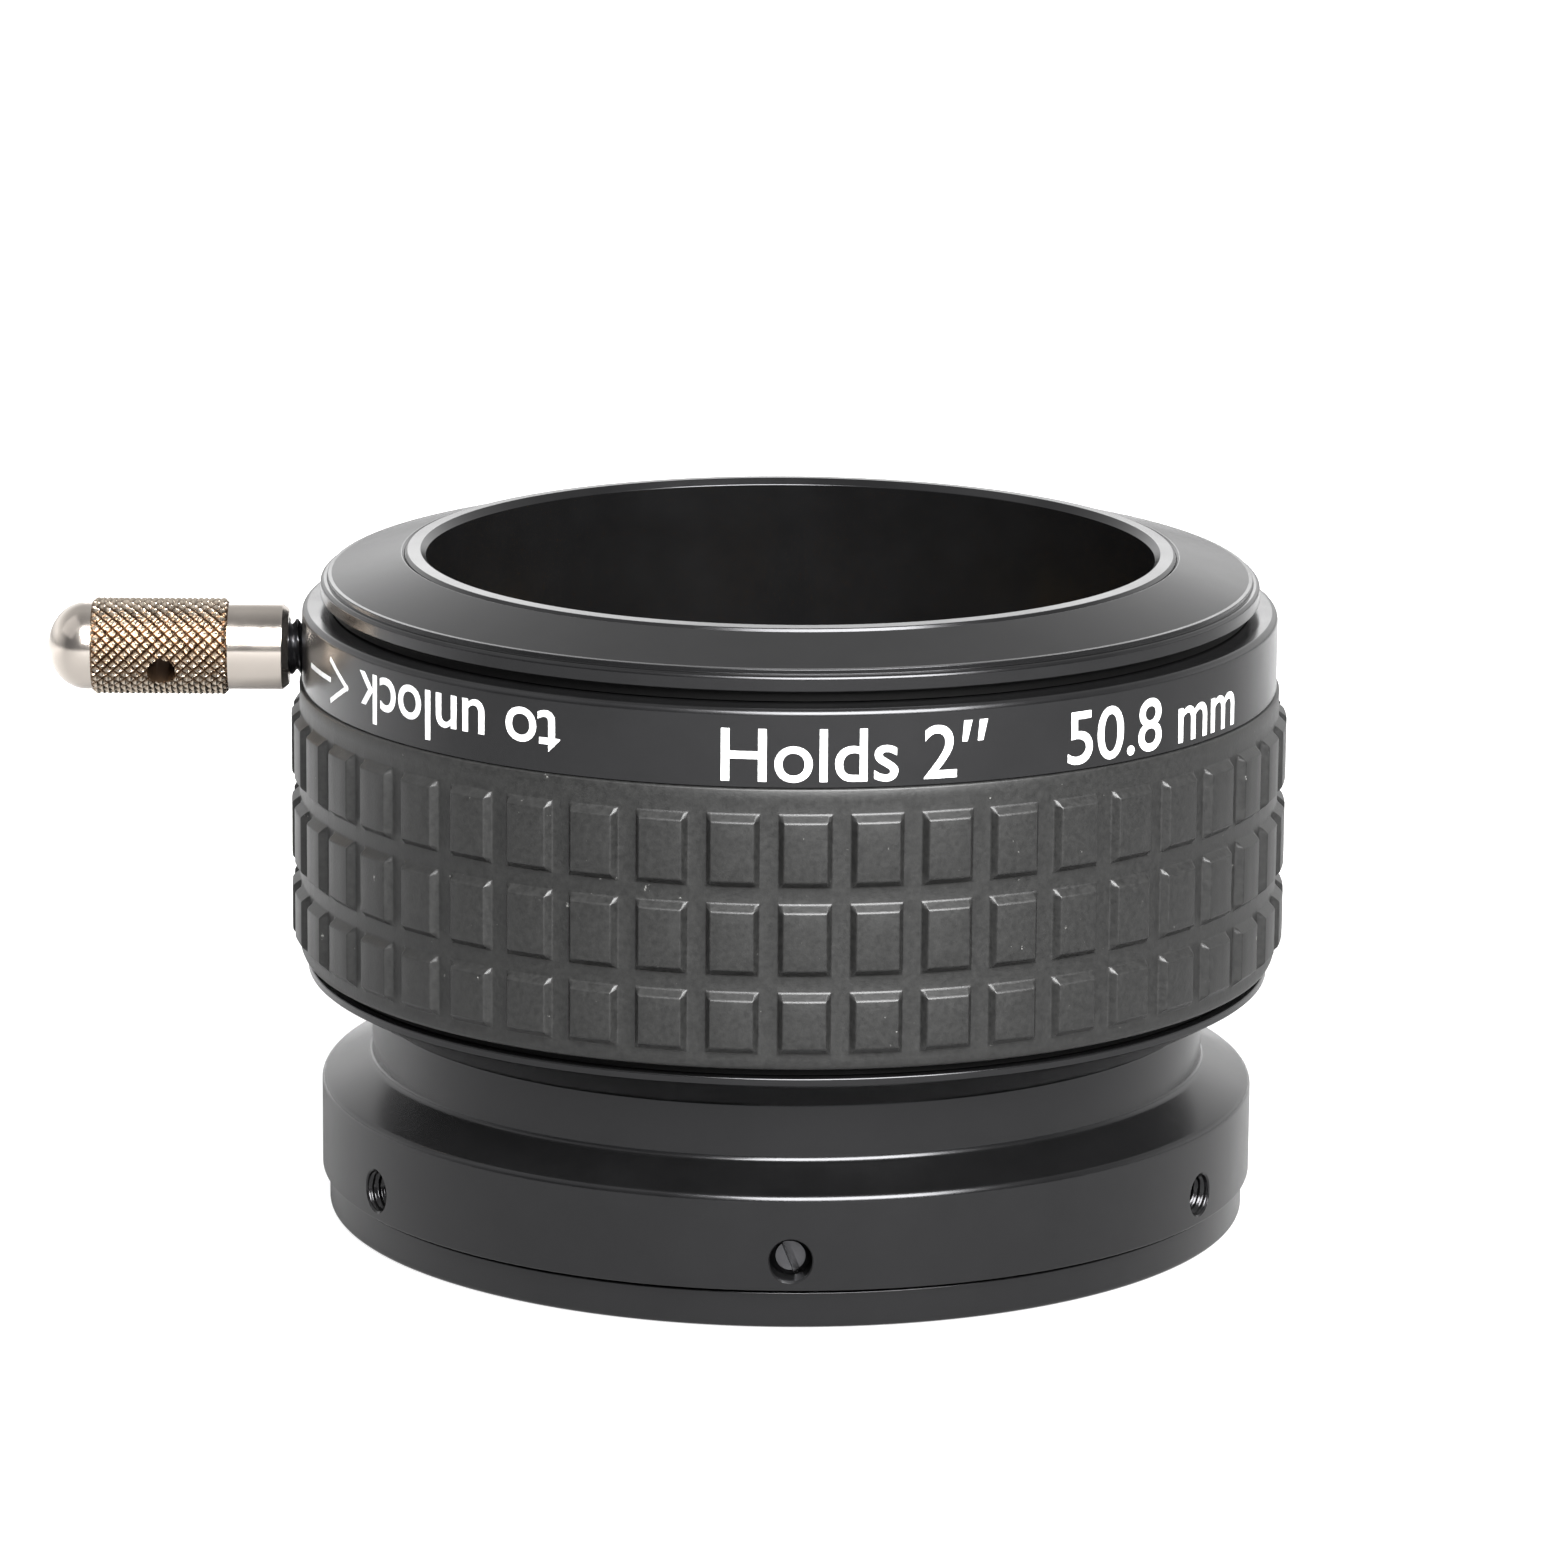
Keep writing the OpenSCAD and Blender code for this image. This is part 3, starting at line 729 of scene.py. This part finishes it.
def pad_layout():
    """Azimuth of each pad's middle, half the width of its top in degrees, and each row's heights."""
    mesh = frame["nodes"]["rubber_grip"].data
    tops, levels = set(), set()
    for face in mesh.polygons:
        corners = [mesh.vertices[i].co / MM for i in face.vertices]
        if min(math.hypot(p.x, p.y) for p in corners) < PAD_TOP_R - 0.01:
            continue
        turns = [math.degrees(math.atan2(p.y, p.x)) for p in corners]
        tops.add((round(min(turns), 2), round(max(turns), 2)))
        levels |= {round(p.z - GRIP_LOW, 2) for p in corners}
    first, second = sorted(tops)[:2]
    pitch = second[0] - first[0]
    pads = round(360 / pitch)
    middles = [sum(first) / 2 + i * 360 / pads for i in range(pads)]
    heights = sorted(levels)
    return middles, (first[1] - first[0]) / 2, list(zip(heights[::2], heights[1::2]))


def rubber_grip():
    """The moulded sleeve with rows of raised pads, meshed closely only at the pads' creases."""
    middles, half_top, rows = pad_layout()
    base_r = widest("rubber_grip", GRIP_LOW, GRIP_LOW + 1.0)
    height = PAD_TOP_R - base_r
    edge = 0.35
    flank = math.degrees(PAD_FLANK_ROUND / base_r)
    half = half_top + flank
    pitch = 360 / len(middles)

    azimuths = []
    for middle in middles:
        azimuths += [(a, middle) for a in flank_samples(middle - half, middle + half, flank)]
        azimuths.append((middle + pitch / 2, middle))
    total = GRIP_TOP - GRIP_LOW
    heights = []
    for low, high in rows:
        heights += flank_samples(low, high, PAD_FLANK_UP)
    heights += [(below[1] + above[0]) / 2 for below, above in zip(rows, rows[1:])]
    heights += [(edge + rows[0][0]) / 2, (rows[-1][1] + total) / 2]
    heights.sort()

    def lift(azimuth, middle, z):
        across = flank_height(azimuth, middle - half, middle + half, flank)
        along = max(flank_height(z, low, high, PAD_FLANK_UP) for low, high in rows)
        return height * min(across, along)

    inner = SEAT_R + 0.02
    foot = [(inner, 0.0), (base_r - edge, 0.0), (base_r - edge * 0.3, edge * 0.3), (base_r, edge)]
    head = [(base_r, total - 0.12), (base_r - 0.05, total - 0.03), (base_r - 0.14, total),
            (inner, total)]
    verts = []
    for azimuth, middle in azimuths:
        c, s = math.cos(math.radians(azimuth)), math.sin(math.radians(azimuth))
        outline = foot + [(base_r + lift(azimuth, middle, z), z) for z in heights] + head
        verts += [(r * c, r * s, GRIP_LOW + z) for r, z in outline]
    faces = ring_of_columns(len(azimuths), len(foot) + len(heights) + len(head))
    piece = new_object("rubber_grip_moulded", verts, faces)
    piece.data.set_sharp_from_angle(angle=math.radians(60))
    finish_piece(piece, RUBBER, "grip_rubber", "sleeve", "rubber_grip")


# ---------------------------------------------------------------- lever

def lay_along_lever(piece):
    """Turns a piece built along +Z, at its distance from the optical axis, to point along -X."""
    upright = Matrix.Rotation(math.radians(-90), 4, "Y")
    piece.data.transform(Matrix.Translation((0, 0, LEVER_Z * MM)) @ upright)


TOMMY_R = 1.0                             # radius of the cross hole
TOMMY_TILT = math.radians(23)             # how far the hole leans from level
TOMMY_WAY = Vector((0, -math.cos(TOMMY_TILT), -math.sin(TOMMY_TILT)))


def tommy_bar_tool(reach):
    """The cross hole through the lever, at a distance from the optical axis, for cutting."""
    side = Vector((1, 0, 0))
    turned = Matrix((side, TOMMY_WAY.cross(side), TOMMY_WAY)).transposed().to_4x4()
    half = 6.0             # longer than the lever's radius
    place = Matrix.Translation(Vector((-reach, 0, LEVER_Z)) - TOMMY_WAY * half) @ turned
    return cylinder("tommy_bar_hole", TOMMY_R, 2 * half, place, 48)


def from_tommy_axis(point, reach):
    """Distance of a point from the cross hole's axis, in mm."""
    away = point - Vector((-reach, 0, LEVER_Z))
    return (away - TOMMY_WAY * away.dot(TOMMY_WAY)).length


def knurled_part(low, high):
    """Diamond knurl: two families of crossing V grooves that leave rows of rounded nubs."""
    around, along = 26, 12     # nubs round the handle and along it
    fine = 6                   # mesh steps in each nub
    rows, across = along * fine, around * fine
    verts, rises = [], []
    for row in range(rows + 1):
        x = low + (high - low) * row / rows
        end = min(x - low, high - x)
        for s in range(across):
            p, q = math.pi * s / fine, math.pi * row / fine
            rise = min(abs(math.sin(p + q)), abs(math.sin(p - q)))
            r = KNURL_R - KNURL_DEPTH * (1 - rise)
            r = min(r, KNURL_R - KNURL_CHAMFER + end)
            a = 2 * math.pi * s / across
            verts.append((r * math.cos(a), r * math.sin(a), x))
            rises.append(rise)
    faces = []
    for row in range(rows):
        for s in range(across):
            t = (s + 1) % across
            a, b = row * across + s, row * across + t
            c, d = (row + 1) * across + t, (row + 1) * across + s
            # each cell is split along the groove, which joins its two lower corners
            if rises[b] + rises[d] < rises[a] + rises[c]:
                faces += [(a, b, d), (b, c, d)]
            else:
                faces += [(a, b, c), (a, c, d)]
    faces.append(tuple(reversed(range(across))))
    faces.append(tuple(rows * across + s for s in range(across)))
    return new_object("lever_knurl", verts, faces)


def lever():
    """The handle in its three finishes, and the stud that holds it to the sleeve."""
    dome_long, shoulder, knurl_long = 2.7, 0.44, 9.56
    knurl_out = LEVER_TIP - dome_long - shoulder
    knurl_in = knurl_out - knurl_long
    dome_lap, collar_lap = 0.5, 0.4           # how far each reaches inside the knurl
    lever_dome(dome_long, knurl_out - dome_lap)
    lever_collar(knurl_in + collar_lap)
    lever_knurl(knurl_in, knurl_out)
    stud_in, stud_out = 30.0, LEVER_IN + 5.5  # from inside the sleeve to inside the collar
    stud = threaded("lever_stud_threaded", 0.3, stud_in, stud_out - stud_in, pitch=0.7,
                    crest=1.98, root=1.6, steps=64)
    lay_along_lever(stud)
    finish_piece(stud, DARK_STEEL, "black_steel", "sleeve", "lever_stud")


def lever_dome(long, start):
    """The polished end, a quarter ellipse turned about the lever's axis."""
    dome_r = 3.07
    steps = 16
    quarter = [math.pi / 2 * k / steps for k in range(steps)]
    outline = [(0, start), (dome_r, start)]
    outline += [(dome_r * math.cos(a), LEVER_TIP - long * (1 - math.sin(a))) for a in quarter]
    outline.append((0, LEVER_TIP))
    dome = turn_open("lever_dome", outline, 96)
    lay_along_lever(dome)
    finish_piece(dome, NICKEL, "nickel_plate", "sleeve")


def lever_collar(end):
    """The plain part next to the sleeve, bored for the stud."""
    collar_r, hole_r = 3.03, 2.04
    collar = turn("lever_collar", [
        (hole_r, LEVER_IN, 0.1), (collar_r - 0.4, LEVER_IN, 0.08), (collar_r, LEVER_IN + 0.45, 0.1),
        (collar_r, end, 0.0), (hole_r, end, 0.0)], 128)
    lay_along_lever(collar)
    finish_piece(collar, NICKEL, "nickel_plate", "sleeve")


def lever_knurl(low, high):
    """The knurled grip with its cross hole, whose unplated metal is painted dark brown as painted shade
    inside the hole.
    """
    knurl = knurled_part(low, high)
    lay_along_lever(knurl)
    off_middle = 0.18
    reach = (low + high) / 2 - off_middle
    cut(knurl, [tommy_bar_tool(reach)])
    knurl.data.set_sharp_from_angle(angle=math.radians(50))
    finish_piece(knurl, KNURL, "nickel_plate", "sleeve", "lever_handle")
    knurl.data.materials.append(SHADED_HOLE)
    for face in knurl.data.polygons:
        if from_tommy_axis(face.center / MM, reach) < TOMMY_R + 0.01:
            face.material_index = 1


# ---------------------------------------------------------------- grub screws

def grub_screw(side):
    """A slotted screw with a cone point, built along +Z and laid along its radius."""
    r = GRUB_R
    length = GRUB_OUT - GRUB_IN
    chamfer = 0.4
    slot_turn = 22         # degrees from level at which the screw stopped
    screw = turn_open(f"grub_screw_{side}_cut", [
        (0, 0), (0.12, 0), (r - 0.25, r - 0.37), (r, r - 0.12), (r, length - chamfer),
        (r - chamfer - 0.02, length), (0, length)], 64)
    place = radial_place(GRUB_AZIMUTH[side], GRUB_Z, GRUB_IN)
    screw.data.transform(in_metres(place))
    turned = Matrix.Rotation(math.radians(slot_turn), 4, "Z")
    slot = box_tool("slot", (0.5, 4, 1.5), place @ Matrix.Translation((0, 0, length)) @ turned)
    cut(screw, [slot])
    screw.data.set_sharp_from_angle(angle=math.radians(35))
    finish_piece(screw, DARK_STEEL, "black_steel", f"grub_{side}", f"grub_screw_{side}")


# ---------------------------------------------------------------- printed marks

INK_THICK = 0.02
LETTER_WEIGHT = 0.03       # how much each stroke is thickened
CAPITAL = 0.729            # height of the font's capitals, as a share of its size


def on_band(name, flat, azimuth, height, upside_down=False):
    """Wraps a flat mesh in the XY plane, in mm, round the printed band as a thin closed layer."""
    work = bmesh.new()
    work.from_mesh(flat)
    xs = [v.co.x for v in work.verts]
    ys = [v.co.y for v in work.verts]
    middle_x, middle_y = (min(xs) + max(xs)) / 2, (min(ys) + max(ys)) / 2
    slice_width = 0.35     # short enough to follow the band's curve
    slice_at = min(xs)
    while slice_at < max(xs):
        slice_at += slice_width
        geometry = list(work.verts) + list(work.edges) + list(work.faces)
        bmesh.ops.bisect_plane(work, geom=geometry, plane_co=(slice_at, 0, 0), plane_no=(1, 0, 0))
    sign = -1 if upside_down else 1
    for v in work.verts:
        x, y = sign * (v.co.x - middle_x), sign * (v.co.y - middle_y)
        a = math.radians(azimuth) + x / BAND_R
        r = BAND_R + 0.004 + (INK_THICK if v.co.z > 0 else 0.0)
        v.co = Vector((r * math.cos(a), r * math.sin(a), height + y)) * MM
    bmesh.ops.recalc_face_normals(work, faces=work.faces)
    mesh = bpy.data.meshes.new(name)
    work.to_mesh(mesh)
    work.free()
    piece = bpy.data.objects.new(name, mesh)
    bpy.context.scene.collection.objects.link(piece)
    finish_piece(piece, INK, "sleeve_anodised", "sleeve")


def lettering(text, capital_height):
    """Flat closed lettering in mm."""
    curve = bpy.data.curves.new("lettering", "FONT")
    curve.body = text
    curve.size = capital_height / CAPITAL
    curve.extrude = 0.01
    curve.offset = LETTER_WEIGHT
    curve.resolution_u = 6
    text_object = bpy.data.objects.new("lettering", curve)
    bpy.context.scene.collection.objects.link(text_object)
    bpy.context.view_layer.update()
    mesh = bpy.data.meshes.new_from_object(text_object)
    bpy.data.objects.remove(text_object)
    return mesh


def arrow_mesh(length, head, width):
    """A flat arrow pointing along +X: a short shaft and an open V head, in mm."""
    tip = Vector((length, 0))
    strokes = [(Vector((0, 0)), Vector((length * 0.6, 0))), (Vector((length - head, head / 2)), tip),
               (Vector((length - head, -head / 2)), tip)]
    sides = ((3, 2, 1, 0), (4, 5, 6, 7), (0, 1, 5, 4), (1, 2, 6, 5), (2, 3, 7, 6), (3, 0, 4, 7))
    verts, faces = [], []
    for start, end in strokes:
        way = (end - start).normalized() * width / 2
        side = Vector((-way.y, way.x))
        corners = [start + side - way, start - side - way, end - side + way, end + side + way]
        first = len(verts)
        verts += [(c.x, c.y, z) for z in (-0.01, 0.01) for c in corners]
        faces += [tuple(first + i for i in side_corners) for side_corners in sides]
    mesh = bpy.data.meshes.new("arrow")
    mesh.from_pydata(verts, [], faces)
    return mesh


def printed_marks():
    """The marks on the band, each centred at an azimuth counted from the camera's side."""
    ahead = -90 - VIEW_TURN
    unlock_z, size_z = 40.25, 40.05
    arrow = arrow_mesh(length=7.7, head=2.8, width=0.34)
    on_band("print_arrow", arrow, ahead - 68.35, unlock_z)
    unlock = lettering("to unlock", 3.6)
    on_band("print_unlock", unlock, ahead - 42.5, unlock_z, upside_down=True)
    size = lettering("Holds 2″    50.8 mm", 3.75)
    on_band("print_size", size, ahead + 27.5, size_z)


# ---------------------------------------------------------------- CAD nodes that stay

def paint_cad_nodes():
    """Materials for the CAD nodes that are shown as they are."""
    look = {"lower_slip_washer": SHADED_PLASTIC, "upper_slip_washer": SHADED_PLASTIC, "segment_springs": WIRE,
            "detent_spring": WIRE, "stop_pin": STEEL, "detent_ball": STEEL}
    for i in (1, 2, 3):
        look[f"clamp_segment_{i}"] = BRASS
        look[f"roller_{i}"] = STEEL
    for node, material in look.items():
        piece = frame["nodes"][node]
        piece.data.materials.clear()
        piece.data.materials.append(material)


# ---------------------------------------------------------------- studio

def studio():
    """A white floor, a surround that is brightest low down behind the object, and three softboxes."""
    floor_piece()
    surround()
    softbox("softbox_key", azimuth=16, elevation=40, distance=0.9, size=(0.72, 0.66), radiance=32)
    softbox("softbox_back", azimuth=180, elevation=16, distance=0.9, size=(0.3, 0.16), radiance=1.9)
    softbox("softbox_left", azimuth=-75, elevation=45, distance=0.9, size=(0.8, 0.7), radiance=0.5)


def floor_piece():
    """A plain pale floor just under the object, in metres."""
    mesh = bpy.data.meshes.new("floor")
    far, level = 6.0, -0.0001
    corners = [(-far, -far, level), (far, -far, level), (far, far, level), (-far, far, level)]
    mesh.from_pydata(corners, [], [(0, 1, 2, 3)])
    floor = bpy.data.objects.new("floor", mesh)
    bpy.context.scene.collection.objects.link(floor)
    paint = Nodes("floor_painted_light")
    paint.set(Roughness=0.9, Specular_IOR_Level=0.2)
    # painted light: the floor is darker in front and close by, and lighter behind the object, most on the
    # lever's side, to lift the object's own shadow there and to set what the object reflects
    place = paint.add("SeparateXYZ")
    paint.link(paint.place(), "Object", place, "Vector")
    lean = paint.add("Math", operation="MULTIPLY")
    lean.inputs[1].default_value = -0.4
    paint.link(place, "X", lean, 0)
    along = paint.add("Math", operation="ADD")
    paint.link(lean, "Value", along, 0)
    paint.link(place, "Y", along, 1)
    tone = paint.ramp(along, "Value", grey(0.27), grey(0.62), 0.03, 0.16)
    paint.link(tone, "Color", paint.shader, "Base Color")
    # the camera sees a brighter floor than the object does
    path = paint.add("LightPath")
    glow = paint.add("Math", operation="MULTIPLY")
    glow.inputs[1].default_value = 0.8
    paint.link(path, "Is Camera Ray", glow, 0)
    paint.shader.inputs["Emission Color"].default_value = (1, 1, 1, 1)
    paint.link(glow, "Value", paint.shader, "Emission Strength")
    mesh.materials.append(paint.material)


def surround():
    """World light by direction: behind the object it falls off with height, in front it is dim."""
    world = bpy.data.worlds.new("surround")
    bpy.context.scene.world = world
    world.use_nodes = True
    tree = world.node_tree
    tree.nodes.clear()

    def add(kind):
        return tree.nodes.new("ShaderNode" + kind)

    def ramp_of(source, stops):
        node = add("ValToRGB")
        elements = node.color_ramp.elements
        for element, (position, value) in zip(elements, (stops[0], stops[-1])):
            element.position, element.color = position, (value, value, value, 1)
        for position, value in stops[1:-1]:
            elements.new(position).color = (value, value, value, 1)
        tree.links.new(source, node.inputs["Fac"])
        return node.outputs["Color"]

    place, split, path = add("TexCoord"), add("SeparateXYZ"), add("LightPath")
    tree.links.new(place.outputs["Generated"], split.inputs["Vector"])
    half = add("Math")
    half.operation = "MULTIPLY_ADD"
    half.inputs[1].default_value = half.inputs[2].default_value = 0.5
    tree.links.new(split.outputs["Y"], half.inputs[0])
    behind = ramp_of(half.outputs["Value"], [(0.30, 0.0), (0.50, 0.45), (0.72, 1.0), (1.0, 1.0)])
    by_height = [(0.0, 0.6), (0.12, 0.8), (0.22, 0.95), (0.42, 0.62), (0.62, 0.40), (1.0, 0.36)]
    height = ramp_of(split.outputs["Z"], by_height)
    blend = add("MixRGB")
    blend.inputs["Color1"].default_value = (0.10, 0.10, 0.105, 1)
    tree.links.new(behind, blend.inputs["Fac"])
    tree.links.new(height, blend.inputs["Color2"])
    lit, seen, mix, out = add("Background"), add("Background"), add("MixShader"), add("OutputWorld")
    lit.inputs["Strength"].default_value = 1.5
    seen.inputs["Color"].default_value = (1, 1, 1, 1)
    tree.links.new(blend.outputs["Color"], lit.inputs["Color"])
    tree.links.new(path.outputs["Is Camera Ray"], mix.inputs["Fac"])
    tree.links.new(lit.outputs["Background"], mix.inputs[1])
    tree.links.new(seen.outputs["Background"], mix.inputs[2])
    tree.links.new(mix.outputs["Shader"], out.inputs["Surface"])


def softbox(name, azimuth, elevation, distance, size, radiance):
    """A rectangular light aimed at the object; azimuth runs from the camera's side towards +X."""
    a, e = math.radians(azimuth - 90), math.radians(elevation)
    centre = Vector((0, 0, 0.03))
    way = Vector((math.cos(e) * math.cos(a), math.cos(e) * math.sin(a), math.sin(e)))
    data = bpy.data.lights.new(name, "AREA")
    data.shape = "RECTANGLE"
    data.size, data.size_y = size
    data.energy = radiance * math.pi * size[0] * size[1]
    lamp = bpy.data.objects.new(name, data)
    lamp.location = centre + way * distance
    lamp.rotation_mode = "QUATERNION"
    lamp.rotation_quaternion = way.to_track_quat("Z", "Y")
    bpy.context.scene.collection.objects.link(lamp)


def camera():
    """The camera of the reference view: a long lens, a little above the rim."""
    swing = Matrix.Rotation(math.radians(-VIEW_TURN), 3, "Z")
    aim = swing @ Vector((-0.32, 0, 30.0)) * MM
    distance = 539.7 * MM
    elevation = math.radians(13.22)
    roll = math.radians(0.449)
    data = bpy.data.cameras.new("camera")
    data.sensor_width = 36
    data.lens = 175.6
    data.clip_start, data.clip_end = 0.01, 50
    lens = bpy.data.objects.new("camera", data)
    bpy.context.scene.collection.objects.link(lens)
    back = swing @ Vector((0, -math.cos(elevation), math.sin(elevation)))
    turned = (-back).to_track_quat("-Z", "Y").to_matrix().to_4x4() @ Matrix.Rotation(roll, 4, "Z")
    lens.matrix_world = Matrix.Translation(aim + back * distance) @ turned
    bpy.context.scene.camera = lens
    view = bpy.context.scene.view_settings
    view.view_transform = "Standard"
    view.look = "None"


# ---------------------------------------------------------------- build

base_ring()
clamp_body()
spare_threads()
front_ring()
twist_sleeve()
rubber_grip()
lever()
for grub_side in GRUB_AZIMUTH:
    grub_screw(grub_side)
printed_marks()
paint_cad_nodes()
studio()
camera()

bpy.context.view_layer.update()
